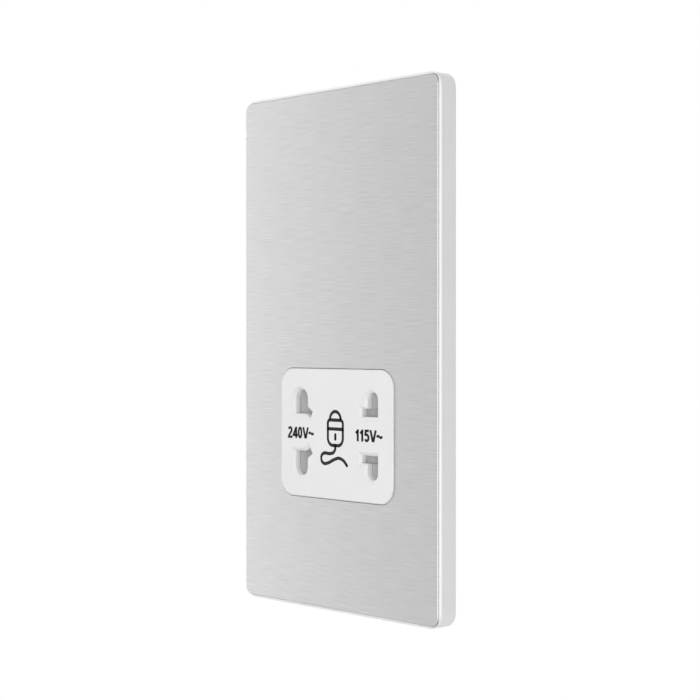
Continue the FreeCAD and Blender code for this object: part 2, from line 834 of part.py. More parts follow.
def clip_path(middle):
    """Centre line of one pin clip seen from above: flared mouth, throat and back."""
    mouth = float(size("leaf_mouth")) / 2
    throat = float(size("leaf_throat")) / 2
    front = float(-SKIRT_BACK + size("leaf_front"))
    back = float(-WELL_FLOOR - size("brass_thick") / 2)
    waist = front + (back - front) / 4
    return [(middle - mouth, front), (middle - throat, waist), (middle - mouth, back),
            (middle + mouth, back), (middle + throat, waist), (middle + mouth, front)]


def add_clip(body, name, middle, height):
    """One brass clip, with a tail that leaves through the floor of its well."""
    outline = new_sketch(body, name + "_profile", height - size("leaf_height") / 2,
                         plane="XY_Plane")
    add_outline(outline, strip_outline(clip_path(float(middle)), size("brass_thick")))
    pad(body, outline, size("leaf_height"), name)
    plate_pad(body, name + "_tail", BASE_BACK - size("tail_length"),
              size("tail_length") + size("base_floor") + size("brass_thick") / 2,
              size("tail_width"), size("brass_thick"), x=middle, z=height)


def make_contacts():
    """Brass contacts: one clip each for the two live pins, and a joined pair."""
    body = new_body("contact_240", z=INSERT_Z)
    add_clip(body, "clip", -size("high_x"), CONTACT_Z)
    body = new_body("contact_115", z=INSERT_Z)
    add_clip(body, "clip", size("low_x"), CONTACT_Z)
    body = new_body("contact_common", z=INSERT_Z)
    add_clip(body, "clip_left", -size("high_x"), -CONTACT_Z)
    add_clip(body, "clip_right", size("low_x"), -CONTACT_Z)
    span = size("high_x") + size("low_x") - size("leaf_mouth")
    plate_pad(body, "bar", WELL_FLOOR, size("bar_depth"), span, size("brass_thick"),
              x=(size("low_x") - size("high_x")) / 2, z=-CONTACT_Z)


def make_socket_base():
    """Moulded box behind the insert that carries the contacts."""
    body = new_body("socket_base", z=INSERT_Z)
    plate_pad(body, "block", BASE_BACK, size("base_depth"), size("skirt_width"),
              size("skirt_height"), size("skirt_corner"))
    depth = SKIRT_BACK - WELL_FLOOR
    gap = size("well_gap")
    well_height = size("high_reach") - size("gap_half") + 2 * gap
    well_width = size("leaf_mouth") + size("brass_thick") + 2 * gap
    low_left = LOW_LEFT - gap
    low_right = size("low_x") + well_width / 2
    for end in (-1, 1):
        name = "top" if end > 0 else "bottom"
        plate_cut(body, "high_well_" + name, SKIRT_BACK, depth, well_width, well_height,
                  x=-size("high_x"), z=end * CONTACT_Z)
        plate_cut(body, "low_well_" + name, SKIRT_BACK, depth, low_right - low_left,
                  well_height, x=(low_left + low_right) / 2, z=end * CONTACT_Z)
        for side, middle in ((0, -size("high_x")), (1, size("low_x"))):
            plate_cut(body, "tail_slot_%s_%d" % (name, side), WELL_FLOOR, size("base_floor"),
                      size("tail_width") + 2 * size("fit_gap"),
                      size("brass_thick") + 2 * size("fit_gap"), x=middle, z=end * CONTACT_Z)
    plate_cut(body, "bar_slot", SKIRT_BACK, depth, size("high_x") + size("low_x"),
              size("brass_thick") + 2 * gap, x=(size("low_x") - size("high_x")) / 2,
              z=-CONTACT_Z)
    plate_cut(body, "core_out", BASE_BACK + size("base_depth") * 2 / 3,
              size("base_depth") * 2 / 3, size("high_x"), size("gap_half") * 2)
    holes = new_sketch(body, "screw_hole_outline", SKIRT_BACK)
    sinks = new_sketch(body, "screw_sink_outline", -size("socket_screw_seat"))
    for end in (-1, 1):
        add_circle(holes, 0, end * size("boss_z"), size("socket_screw") + 4 * size("fit_gap"))
        add_circle(sinks, 0, end * size("boss_z"), size("screw_head") + 4 * size("fit_gap"))
    pocket(body, holes, size("base_depth"), "screw_holes")
    pocket(body, sinks, size("base_depth"), "screw_sinks")


def many_sided(sides, radius, low, high):
    """An upright prism about the Z axis."""
    points = []
    for side in range(sides + 1):
        angle = 2 * math.pi * side / sides
        points.append(V(radius * math.cos(angle), radius * math.sin(angle), low))
    return Part.Face(Part.makePolygon(points)).extrude(V(0, 0, high - low))


def slotted_screw(shank, length, head, head_high, slot_depth):
    """A cheese-head screw with a straight slot, head up at z 0 and shank below."""
    slot = Part.makeBox(2.4 * head, 0.28 * head, head_high,
                        V(-1.2 * head, -0.14 * head, head_high - slot_depth))
    top = many_sided(HEAD_SIDES, head, 0, head_high).cut(slot)
    return top.fuse(many_sided(SHANK_SIDES, shank, -length, 0)).removeSplitter()


def make_screws(name, places, shank, length, head, head_high, turn_x):
    """Several equal screws in one node; turn_x lays their axis along Y."""
    screw = slotted_screw(float(shank) / 2, float(length), float(head) / 2, float(head_high),
                          0.45 * float(head_high))
    solids = []
    for x, y, z in places:
        copy = screw.copy()
        copy.Placement = FreeCAD.Placement(V(float(x), float(y), float(z)),
                                           FreeCAD.Rotation(V(1, 0, 0), turn_x))
        solids.append(copy)
    feature = doc.addObject("Part::Feature", name)
    feature.Label = name
    feature.Shape = Part.makeCompound(solids)
    NODES.append(feature)


def make_core():
    """Laminated transformer core: three legs, two windows, weld grooves."""
    body = new_body("core_laminations", z=size("core_z"))
    plate_pad(body, "stack", CORE_BACK, CORE_STACK, size("core_width"),
              size("core_height"))
    window_x = (size("core_leg") + size("core_window")) / 2
    for side in (-1, 1):
        plate_cut(body, "window_%d" % (side + 1), CORE_FRONT, CORE_STACK,
                  size("core_window"), size("core_opening"), x=side * window_x)
        for end in (-1, 1):
            plate_cut(body, "groove_%d_%d" % (side + 1, end + 1), CORE_FRONT,
                      CORE_STACK, size("core_window") / 6, size("core_window") / 6,
                      x=side * size("core_width") / 2, z=end * size("core_opening") / 2)


def ring_pad(body, name, low, high, width, depth, inner_width, inner_depth):
    """A rectangular ring about the core's centre leg, between two heights."""
    outer = new_sketch(body, name + "_outer", low, z=CORE_Y, plane="XY_Plane")
    add_rectangle(outer, width, depth)
    add_rectangle(outer, inner_width, inner_depth)
    pad(body, outer, high - low, name)


def winding_sizes():
    tube_width = size("core_leg") + 2 * size("bobbin_gap") + 2 * size("bobbin_wall")
    tube_depth = CORE_STACK + 2 * size("bobbin_gap") + 2 * size("bobbin_wall")
    flange_width = size("core_leg") + 2 * size("core_window") - 4 * size("bobbin_gap")
    flange_depth = CORE_STACK + 2 * size("bobbin_reach")
    return tube_width, tube_depth, flange_width, flange_depth


def make_bobbin():
    """Two-chamber bobbin on the centre leg."""
    body = new_body("bobbin", z=size("core_z"))
    tube_width, tube_depth, flange_width, flange_depth = winding_sizes()
    wall = size("bobbin_wall")
    hole_width = tube_width - 2 * wall
    hole_depth = tube_depth - 2 * wall
    half = size("core_opening") / 2 - size("bobbin_gap")
    ring_pad(body, "tube", -half, half, tube_width, tube_depth, hole_width, hole_depth)
    for name, low in (("top", half - wall), ("middle", -wall / 2), ("bottom", -half)):
        ring_pad(body, "flange_" + name, low, low + wall, flange_width, flange_depth,
                 hole_width, hole_depth)


def make_windings():
    """Primary above and secondary below, each under its own wrap of tape."""
    tube_width, tube_depth, flange_width, flange_depth = winding_sizes()
    wall = size("bobbin_wall")
    gap = size("bobbin_gap")
    half = size("core_opening") / 2 - gap
    inset = 2 * size("winding_inset")
    tape = 2 * size("tape_thick")
    chambers = (("primary", wall / 2 + gap, half - wall - gap),
                ("secondary", -half + wall + gap, -wall / 2 - gap))
    for name, low, high in chambers:
        body = new_body(name + "_winding", z=size("core_z"))
        ring_pad(body, "coil", low, high, flange_width - inset - tape,
                 flange_depth - inset - tape, tube_width, tube_depth)
        body = new_body(name + "_tape", z=size("core_z"))
        ring_pad(body, "wrap", low, high, flange_width - inset, flange_depth - inset,
                 flange_width - inset - tape, flange_depth - inset - tape)


def tag_places():
    """Solder tags on the back edge of the bobbin: two above, three below."""
    half = float(size("core_opening") / 2 - size("bobbin_gap"))
    y = float(CORE_Y + CORE_STACK / 2 + size("bobbin_reach"))
    y -= 2 * float(size("tag_width"))
    pitch = float(size("tag_pitch"))
    centre = float(size("core_z"))
    upper = [(x, y, centre + half) for x in (-pitch, pitch)]
    lower = [(x, y, centre - half) for x in (-pitch, 0.0, pitch)]
    return upper, lower


def make_tags():
    upper, lower = tag_places()
    width = float(size("tag_width"))
    length = float(size("tag_length"))
    solids = []
    for drop, places in ((0.0, upper), (length, lower)):
        for x, y, z in places:
            corner = V(x - width / 2, y - width / 2, z - drop)
            solids.append(Part.makeBox(width, width, length, corner))
    feature = doc.addObject("Part::Feature", "bobbin_tags")
    feature.Label = "bobbin_tags"
    feature.Shape = Part.makeCompound(solids)
    NODES.append(feature)


def cutout_front():
    """Level of the thermal cut-out's front face, just ahead of the primary tape."""
    reach = CORE_STACK / 2 + size("bobbin_reach") - size("winding_inset")
    return -(CORE_Y - reach) + size("fit_gap") / 2


def cutout_z():
    return size("core_z") + size("core_opening") / 4


def make_thermal_cutout():
    body = new_body("thermal_cutout", z=cutout_z())
    plate_pad(body, "case", cutout_front(), size("cutout_thick"), size("cutout_width"),
              size("cutout_height"), size("tape_thick") * 2)


def make_rear_housing():
    """Stepped box behind the plate: shallow at the terminals, deep at the core."""
    body = new_body("rear_housing")
    width = size("housing_width")
    wall = size("housing_wall")
    top = size("housing_top")
    bottom = HOUSING_BOTTOM
    step = size("housing_step")
    corner = size("housing_corner")
    low_height = top - bottom
    deep_height = top - step
    plate_pad(body, "shallow", -size("housing_low"), size("housing_low") + WEB_BACK, width,
              low_height, corner, z=(top + bottom) / 2)
    bevel_edges(body, "shallow_bevel", size("housing_bevel"),
                lambda edge: at_level(edge, -size("housing_low")))
    plate_pad(body, "deep", -size("housing_deep"), size("housing_deep") + WEB_BACK, width,
              deep_height, corner, z=(top + step) / 2)
    bevel_edges(body, "deep_bevel", size("housing_bevel"),
                lambda edge: at_level(edge, -size("housing_deep")))
    plate_cut(body, "low_room", WEB_BACK, size("housing_low") - wall + WEB_BACK,
              width - 2 * wall, low_height - 2 * wall, z=(top + bottom) / 2)
    plate_cut(body, "deep_room", WEB_BACK, size("housing_deep") - wall + WEB_BACK,
              width - 2 * wall, deep_height - 2 * wall, z=(top + step) / 2)
    ears = new_sketch(body, "ear_outline", WEB_BACK - size("ear_thick"))
    half = size("ear_width") / 2
    for x, z in ear_points():
        end = 1 if float(z) > 0 else -1
        root = float(top if end > 0 else bottom) - end * float(wall)
        tip = float(top if end > 0 else bottom) + end * float(size("ear_height"))
        chamfer = float(half) / 2
        left, right = float(x) - float(half), float(x) + float(half)
        add_outline(ears, [(left, root), (right, root), (right, tip - end * chamfer),
                           (right - chamfer, tip), (left + chamfer, tip),
                           (left, tip - end * chamfer)])
    pad(body, ears, size("ear_thick"), "ears")
    holes = new_sketch(body, "ear_hole_outline", WEB_BACK)
    for x, z in ear_points():
        add_circle(holes, x, z, size("ear_screw") + 4 * size("fit_gap"))
    pocket(body, holes, size("ear_thick"), "ear_holes")
    for index, (x, z) in enumerate(pillar_points()):
        plate_pad(body, "core_pillar_%d" % index, wall - size("housing_deep"),
                  size("housing_deep") - wall + CORE_BACK, size("pillar_width"),
                  size("pillar_width"), x=x, z=z)
    cage = size("cage_wall")
    inner = size("terminal_width") + 2 * size("fit_gap")
    cage_level = wall - size("housing_low")
    cage_height = size("terminal_height") + cage
    base_z = bottom + wall
    for index, x in enumerate(terminal_xs()):
        for side in (-1, 1):
            plate_pad(body, "cage_%d_%d" % (index, side + 1), cage_level,
                      size("terminal_depth"), cage, cage_height,
                      x=x + side * (inner + cage) / 2, z=base_z + cage_height / 2)
        plate_pad(body, "cage_top_%d" % index, cage_level, size("cage_lip"),
                  inner + 2 * cage, cage,
                  z=TERMINAL_TOP_Z + size("fit_gap") + cage / 2, x=x)
    wells = new_sketch(body, "screw_well_outline", wall - size("housing_low"))
    for x in terminal_xs():
        add_circle(wells, x, TERMINAL_BASE_Z + size("terminal_screw_z"), size("well_width"))
    pocket(body, wells, wall, "screw_wells")
    for index, x in enumerate(terminal_xs()):
        entry = new_sketch(body, "entry_outline_%d" % index, bottom, x,
                           TERMINAL_FRONT + size("terminal_bore_y"), "XY_Plane")
        add_rectangle(entry, size("entry_width"), size("entry_width"))
        pocket(body, entry, wall, "wire_entry_%d" % index, reverse=True)


def terminal_xs():
    pitch = size("terminal_pitch")
    return [-pitch, as_size(0), pitch]


def ear_screw_long():
    """From the ear's back face to just short of the pilot's blind end."""
    pilot = size("web_thick") + size("ear_boss_rise") / 2
    return size("ear_thick") + pilot - 2 * size("fit_gap")


def make_terminals():
    """Brass blocks with a wire bore from below and a clamp screw from behind."""
    for name, x in zip(("live", "earth", "neutral"), terminal_xs()):
        body = new_body("terminal_" + name, x=x)
        plate_pad(body, "block", -TERMINAL_BACK, size("terminal_depth"), size("terminal_width"),
                  size("terminal_height"), z=TERMINAL_BASE_Z + size("terminal_height") / 2)
        bore = new_sketch(body, "bore_outline", TERMINAL_BASE_Z, plane="XY_Plane")
        add_circle(bore, 0, TERMINAL_FRONT + size("terminal_bore_y"), size("terminal_bore"))
        pocket(body, bore, size("terminal_height"), "bore", reverse=True)
        tapped = new_sketch(body, "screw_outline", -TERMINAL_BACK)
        add_circle(tapped, 0, TERMINAL_BASE_Z + size("terminal_screw_z"),
                   size("terminal_screw") + size("fit_gap"))
        pocket(body, tapped, size("terminal_depth") / 2, "screw_hole", reverse=True)


def terminal_screw_long():
    """The clamp screw stops just short of the wire bore."""
    bore_back = size("terminal_bore_y") + size("terminal_bore") / 2
    return size("terminal_depth") - bore_back - 3 * size("fit_gap")


def make_earth_strap():
    """Brass strap from the earth block forward to a spring finger on the facia."""
    body = new_body("earth_strap")
    half = float(size("strap_thick")) / 2
    run_z = float(strap_slot_z()) + float(strap_slot_height()) / 4
    finger_z = float(strap_slot_z()) - float(strap_slot_height()) / 2 + 4 * half
    back = float(TERMINAL_FRONT) - half
    tongue = float(TERMINAL_BASE_Z) + 2 * half
    front = -float(FACIA_BACK) + half + float(size("fit_gap"))
    turn = -float(WEB_FRONT)
    points = [(back, tongue), (back, run_z), (turn, run_z), (front, (run_z + finger_z) / 2),
              (turn + half, finger_z)]
    profile = new_sketch(body, "profile", -size("strap_width") / 2, plane="YZ_Plane")
    add_outline(profile, strip_outline(points, size("strap_thick")))
    pad(body, profile, size("strap_width"), "strip")


def lead_path(points):
    """Straight runs with each corner cut off, as a wire that is bent by hand."""
    spots = [V(*point) for point in points]
    route = [spots[0]]
    for before, corner, after in zip(spots, spots[1:], spots[2:]):
        first = corner - before
        second = after - corner
        trim = 0.3 * min(first.Length, second.Length)
        route.append(corner - first.normalize() * trim)
        route.append(corner + second.normalize() * trim)
    route.append(spots[-1])
    return Part.makePolygon(route)


def make_lead(name, points):
    """An insulated lead along its whole route inside the housing."""
    path = lead_path(points)
    start = V(*points[0])
    heading = V(*points[1]) - start
    radius = float(size("lead_width")) / 2
    feature = doc.addObject("Part::Feature", name)
    feature.Label = name
    feature.Shape = path.makePipeShell([ring_wire(start, heading, radius)], True, False, 1)
    NODES.append(feature)


def make_leads():
    upper, lower = tag_places()
    length = float(size("tag_length"))
    left_tag, right_tag = [(x, y, z + length) for x, y, z in upper]
    tails = [(x, y, z - length) for x, y, z in lower]
    pitch = float(size("terminal_pitch"))
    top = float(TERMINAL_TOP_Z)
    lane_y = float(TERMINAL_BACK) - 2.6
    inner_side = float(size("housing_width")) / 2 - float(size("housing_wall"))
    side = (float(size("core_width")) / 2 + inner_side) / 2
    tail_y = float(-BASE_BACK + size("tail_length"))
    high_x = -float(size("high_x"))
    low_x = float(size("low_x"))
    contact_z = float(INSERT_Z + CONTACT_Z)
    common_z = float(INSERT_Z - CONTACT_Z)
    case = float(size("cutout_width")) / 2
    front_y = -float(cutout_front() + size("cutout_thick") / 2)
    case_z = float(cutout_z())
    tag_y = right_tag[1]
    make_lead("lead_neutral", [
        (pitch, lane_y, top), (pitch, lane_y, -31), (22, lane_y, -18), (side, lane_y, -6),
        (side, lane_y, 10), (side, 33, 26), (22, 36, 36), (16, tag_y, 45),
        (right_tag[0], tag_y, 48.5), right_tag])
    make_lead("lead_live", [
        (-pitch, lane_y, top), (-pitch, lane_y, -31), (-22, lane_y, -18), (-side, 20, -6),
        (-side, 12, 10), (-27.75, 4, 22), (-22, front_y, case_z), (-case, front_y, case_z)])
    make_lead("lead_cutout", [
        (case, front_y, case_z), (11, front_y, case_z), (11, -0.3, 38), (11, -0.3, 47),
        (11, 6, 50.2), (0, 30, 50.2), (left_tag[0], tag_y, 49.6), left_tag])
    make_lead("lead_240", [
        tails[0], (tails[0][0], tag_y, 4.2), (-9, 34, 2), (-12, 22.3, 2), (-14, 21.8, -6),
        (high_x, tail_y + 1.5, contact_z + 3), (high_x, tail_y + 0.9, contact_z)])
    make_lead("lead_115", [
        tails[2], (tails[2][0], tag_y, 4.2), (9, 34, 2), (12, 22.3, 2), (14, 21.8, -6),
        (low_x, tail_y + 1.5, contact_z + 3), (low_x, tail_y + 0.9, contact_z)])
    make_lead("lead_common", [
        tails[1], (tails[1][0], tag_y, 4.2), (0, 34, 2), (0, 22.3, 2), (-2, 21.8, -8),
        (-6, 21.8, -20), (-12, tail_y + 1.8, common_z + 2), (high_x, tail_y + 0.9, common_z)])


def build():
    make_plate_frame()
    make_clip_carrier()
    make_front_plate()
    make_socket_face()
    high_seat, low_seat = make_shutters()
    spring_gap = 0.05
    wall_x = -size("skirt_width") / 2 + size("skirt_wall")
    make_spring("spring_240", float(wall_x) + spring_gap, high_seat - spring_gap)
    post_face = (LOW_LEFT - size("shutter_lap") - size("low_travel")
                 - size("rail_thick") / 2)
    make_spring("spring_115", float(post_face) + spring_gap, low_seat - spring_gap)
    make_contacts()
    make_socket_base()
    seat = size("socket_screw_seat")
    make_screws("socket_screws",
                [(0, seat, INSERT_Z + end * size("boss_z")) for end in (-1, 1)],
                size("socket_screw"), size("socket_screw_long"), size("screw_head"),
                size("screw_head_high"), -90)
    make_core()
    make_bobbin()
    make_windings()
    make_tags()
    make_thermal_cutout()
    make_rear_housing()
    make_screws("housing_screws",
                [(x, size("ear_thick") - WEB_BACK, z) for x, z in ear_points()],
                size("ear_screw"), ear_screw_long(), size("screw_head"),
                size("screw_head_high"), -90)
    make_terminals()
    make_screws("terminal_screws",
                [(x, TERMINAL_BACK, TERMINAL_BASE_Z + size("terminal_screw_z"))
                 for x in terminal_xs()],
                size("terminal_screw"), terminal_screw_long(), size("terminal_head"),
                size("terminal_head_high"), -90)
    make_earth_strap()
    make_leads()


def check_and_export():
    doc.recompute()
    for item in doc.Objects:
        if "Invalid" in item.State or "Error" in item.State:
            raise RuntimeError("%s: %s" % (item.Label, item.State))
    for node in NODES:
        if node.Shape.isNull() or not node.Shape.isValid() or not node.Shape.Solids:
            raise RuntimeError("bad shape: " + node.Label)
    os.makedirs("parts", exist_ok=True)
    for node in NODES:
        node.Shape.exportStep(os.path.join("parts", node.Label + ".step"))
        box = node.Shape.BoundBox
        print("%-20s solids %d volume %9.1f  x %7.2f %7.2f  y %7.2f %7.2f  z %7.2f %7.2f" % (
            node.Label, len(node.Shape.Solids), node.Shape.Volume, box.XMin, box.XMax,
            box.YMin, box.YMax, box.ZMin, box.ZMax))


build()
check_and_export()
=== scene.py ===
import math
import bmesh
import bpy
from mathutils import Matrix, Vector


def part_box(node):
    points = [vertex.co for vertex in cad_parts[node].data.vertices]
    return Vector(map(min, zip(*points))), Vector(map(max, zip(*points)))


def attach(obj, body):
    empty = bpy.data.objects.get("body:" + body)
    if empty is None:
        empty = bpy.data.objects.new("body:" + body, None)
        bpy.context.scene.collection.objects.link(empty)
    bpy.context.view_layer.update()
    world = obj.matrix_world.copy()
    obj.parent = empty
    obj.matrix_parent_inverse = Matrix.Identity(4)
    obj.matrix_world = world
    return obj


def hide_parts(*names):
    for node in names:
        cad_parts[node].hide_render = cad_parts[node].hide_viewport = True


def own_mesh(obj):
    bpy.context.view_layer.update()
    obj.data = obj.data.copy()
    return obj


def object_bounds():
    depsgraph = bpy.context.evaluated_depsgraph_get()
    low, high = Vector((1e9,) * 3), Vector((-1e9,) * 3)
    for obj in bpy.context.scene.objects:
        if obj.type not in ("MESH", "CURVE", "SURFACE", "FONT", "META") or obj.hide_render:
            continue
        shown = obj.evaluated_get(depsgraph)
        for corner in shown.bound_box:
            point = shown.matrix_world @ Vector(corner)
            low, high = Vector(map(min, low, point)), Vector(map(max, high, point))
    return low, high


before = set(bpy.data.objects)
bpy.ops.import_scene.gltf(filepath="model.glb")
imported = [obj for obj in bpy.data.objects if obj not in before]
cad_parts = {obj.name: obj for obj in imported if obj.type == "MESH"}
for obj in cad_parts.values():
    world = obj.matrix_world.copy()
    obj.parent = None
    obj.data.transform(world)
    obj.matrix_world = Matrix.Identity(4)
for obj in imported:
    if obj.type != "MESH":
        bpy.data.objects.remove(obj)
CAD_BOX = [list(corner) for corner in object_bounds()]

MM = 0.001
BODY = "socket"
PRINT_LIFT = 0.012 * MM

# Textures: scales are per metre
GRAIN_DEPTH = 0.02 * MM
STREAK_DEPTH = 0.01 * MM
BAND_DEPTH = 0.1 * MM
MOTTLE_SCALE = 60.0
GRAIN_SCALE = 4200.0
MARK_SCALE = 900.0
SHEEN_SCALE = 700.0
NOISE_MIDDLE = (0.3, 0.7)

# The photograph's camera, from a fit to the edges of the plate
CAMERA_PLACE = (0.3869, -0.3224, 0.0029)
CAMERA_TILT = 90.0 - 0.342
CAMERA_TURN = 50.252
LENS = 91.86
SENSOR = 36.0


# Shader helpers
def add_node(tree, kind, **settings):
    node = tree.nodes.new(kind)
    for key, value in settings.items():
        setattr(node, key, value)
    return node


def new_material(name):
    """A material with a Principled shader, and object coordinates ready for textures."""
    material = bpy.data.materials.new(name)
    material.use_nodes = True
    tree = material.node_tree
    shader = tree.nodes["Principled BSDF"]
    place = add_node(tree, "ShaderNodeTexCoord")
    return material, tree, shader, place.outputs["Object"]


def noise(tree, vector, scale, detail=3.0, stretch=(1.0, 1.0, 1.0)):
    mapping = add_node(tree, "ShaderNodeMapping")
    mapping.inputs["Scale"].default_value = stretch
    texture = add_node(tree, "ShaderNodeTexNoise")
    texture.inputs["Scale"].default_value = scale
    texture.inputs["Detail"].default_value = detail
    tree.links.new(vector, mapping.inputs["Vector"])
    tree.links.new(mapping.outputs["Vector"], texture.inputs["Vector"])
    return texture.outputs["Fac"]


def spread(tree, value, low, high):
    """Maps the middle of a noise onto a range."""
    node = add_node(tree, "ShaderNodeMapRange")
    node.inputs["From Min"].default_value = NOISE_MIDDLE[0]
    node.inputs["From Max"].default_value = NOISE_MIDDLE[1]
    node.inputs["To Min"].default_value = low
    node.inputs["To Max"].default_value = high
    tree.links.new(value, node.inputs["Value"])
    return node.outputs["Result"]


def tint(tree, value, dark, light):
    """Blends two close colours by a noise."""
    ramp = add_node(tree, "ShaderNodeValToRGB")
    ramp.color_ramp.elements[0].position = NOISE_MIDDLE[0]
    ramp.color_ramp.elements[1].position = NOISE_MIDDLE[1]
    ramp.color_ramp.elements[0].color = (*dark, 1.0)
    ramp.color_ramp.elements[1].color = (*light, 1.0)
    tree.links.new(value, ramp.inputs["Fac"])
    return ramp.outputs["Color"]


def add_bump(tree, shader, value, strength, distance, edge=0.0):
    """Surface texture; edge is the radius over which sharp edges look rounded."""
    bump = add_node(tree, "ShaderNodeBump")
    bump.inputs["Strength"].default_value = strength
    bump.inputs["Distance"].default_value = distance
    tree.links.new(value, bump.inputs["Height"])
    if edge:
        soften = add_node(tree, "ShaderNodeBevel", samples=8)
        soften.inputs["Radius"].default_value = edge
        tree.links.new(soften.outputs["Normal"], bump.inputs["Normal"])
    tree.links.new(bump.outputs["Normal"], shader.inputs["Normal"])


def shade(colour, amount):
    return tuple(max(0.0, min(1.0, channel * amount)) for channel in colour)


def moulded(name, colour, roughness, grain=0.08, vary=0.015, edge=0.0, gloss=0.5):
    """Moulded plastic: fine grain in the surface and a slight mottle in the colour.

    edge is the radius of its sharp edges, and gloss how strongly it mirrors.
    """
    gloss_spread = 0.04
    material, tree, shader, vector = new_material(name)
    shader.inputs["Specular IOR Level"].default_value = gloss
    broad = noise(tree, vector, MOTTLE_SCALE)
    fine = noise(tree, vector, GRAIN_SCALE, 2.0)
    tree.links.new(tint(tree, broad, shade(colour, 1 - vary), shade(colour, 1 + vary)),
                   shader.inputs["Base Color"])
    tree.links.new(spread(tree, fine, roughness - gloss_spread, roughness + gloss_spread),
                   shader.inputs["Roughness"])
    add_bump(tree, shader, fine, grain, GRAIN_DEPTH, edge)
    return material


def brushed(name, colour, roughness, stretch, vary):
    """Brushed metal: long fine streaks in colour, gloss and surface; stretch is per metre."""
    broad_share = 0.22
    gloss_spread = 0.015
    material, tree, shader, vector = new_material(name)
    shader.inputs["Metallic"].default_value = 1.0
    shader.inputs["Anisotropic"].default_value = 0.6
    streak = noise(tree, vector, 1.0, 4.0, stretch)
    broad = noise(tree, vector, 1.0, 2.0, tuple(part * broad_share for part in stretch))
    tangent = add_node(tree, "ShaderNodeTangent", direction_type="RADIAL", axis="Z")
    tree.links.new(tangent.outputs["Tangent"], shader.inputs["Tangent"])
    tree.links.new(tint(tree, streak, shade(colour, 1 - vary), shade(colour, 1 + vary)),
                   shader.inputs["Base Color"])
    tree.links.new(spread(tree, broad, roughness - gloss_spread, roughness + gloss_spread),
                   shader.inputs["Roughness"])
    add_bump(tree, shader, streak, 0.05, STREAK_DEPTH)
    return material


def metal(name, colour, roughness):
    """Plain worked metal with small tool marks."""
    material, tree, shader, vector = new_material(name)
    shader.inputs["Metallic"].default_value = 1.0
    marks = noise(tree, vector, MARK_SCALE, 4.0, (1.0, 1.0, 3.0))
    tree.links.new(tint(tree, marks, shade(colour, 0.93), shade(colour, 1.05)),
                   shader.inputs["Base Color"])
    tree.links.new(spread(tree, marks, roughness - 0.06, roughness + 0.08),
                   shader.inputs["Roughness"])
    return material


def layered(name, dark, light, roughness, pitch, along, metallic=0.0):
    """Stacked sheets or wound wire: fine bands across one direction."""
    waves_per_unit = 20.0
    gloss_spread = 0.05
    material, tree, shader, vector = new_material(name)
    shader.inputs["Metallic"].default_value = metallic
    wave = add_node(tree, "ShaderNodeTexWave", bands_direction=along)
    wave.inputs["Scale"].default_value = 1.0 / (pitch * waves_per_unit)
    wave.inputs["Distortion"].default_value = 0.4
    tree.links.new(vector, wave.inputs["Vector"])
    tree.links.new(tint(tree, wave.outputs["Fac"], dark, light), shader.inputs["Base Color"])
    sheen = noise(tree, vector, SHEEN_SCALE)
    tree.links.new(spread(tree, sheen, roughness - gloss_spread, roughness + gloss_spread),
                   shader.inputs["Roughness"])
    add_bump(tree, shader, wave.outputs["Fac"], 0.4, BAND_DEPTH)
    return material


def dress_nodes():
    white = moulded("white_moulded", (0.86, 0.86, 0.86), 0.36, edge=0.35 * MM)
    insert = moulded("insert_moulded", (0.81, 0.81, 0.815), 0.45, edge=0.35 * MM, gloss=0.1)
    steel = brushed("brushed_steel", (0.427, 0.427, 0.427), 0.29, (110.0, 1.0, 8300.0), 0.13)
    # The shutters' grey is partly their own colour and partly painted shade: it is darkened to
    # give the tone of the shade deep in their openings.
    cover = moulded("shutter_moulded", (0.48, 0.475, 0.465), 0.55, edge=0.2 * MM, gloss=0.2)
    brass = metal("brass", (0.78, 0.6, 0.28), 0.3)
    zinc = metal("zinc_plate", (0.62, 0.62, 0.6), 0.34)
    spring = metal("spring_wire", (0.5, 0.5, 0.5), 0.28)
    clear_box = moulded("base_moulded", (0.78, 0.78, 0.76), 0.5)
    housing = moulded("housing_moulded", (0.74, 0.74, 0.73), 0.5, 0.2, 0.02)
    carrier = moulded("carrier_moulded", (0.07, 0.07, 0.075), 0.5)
    black = moulded("black_moulded", (0.03, 0.03, 0.03), 0.5)
    core = layered("core_sheets", (0.08, 0.08, 0.09), (0.2, 0.2, 0.21), 0.45, 0.5 * MM, "Y", 0.6)
    copper = layered("copper_wire", (0.36, 0.13, 0.06), (0.62, 0.27, 0.13), 0.35, 0.3 * MM, "Z",
                     0.8)
    tape = moulded("winding_tape", (0.72, 0.52, 0.08), 0.35)
    brown = moulded("lead_brown", (0.16, 0.07, 0.03), 0.4)
    blue = moulded("lead_blue", (0.03, 0.1, 0.42), 0.4)
    pale = moulded("lead_white", (0.72, 0.72, 0.72), 0.4)
    dressing = {
        white: ("plate_frame",),
        insert: ("socket_face",),
        steel: ("front_plate",),
        cover: ("shutter_240", "shutter_115"),
        brass: ("contact_240", "contact_115", "contact_common", "terminal_live",
                "terminal_earth", "terminal_neutral", "earth_strap"),
        zinc: ("socket_screws", "housing_screws", "terminal_screws", "bobbin_tags"),
        spring: ("spring_240", "spring_115"),
        clear_box: ("socket_base",),
        housing: ("rear_housing",),
        carrier: ("clip_carrier",),
        black: ("bobbin", "thermal_cutout"),
        core: ("core_laminations",),
        copper: ("primary_winding", "secondary_winding"),
        tape: ("primary_tape", "secondary_tape"),
        brown: ("lead_live", "lead_cutout"),
        blue: ("lead_neutral",),
        pale: ("lead_240", "lead_115", "lead_common"),
    }
    dressed = set()
    for material, names in dressing.items():
        for name in names:
            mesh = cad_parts[name].data
            mesh.materials.clear()
            mesh.materials.append(material)
            dressed.add(name)
    missing = set(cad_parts) - dressed
    if missing:
        raise ValueError("nodes without a material: %s" % sorted(missing))


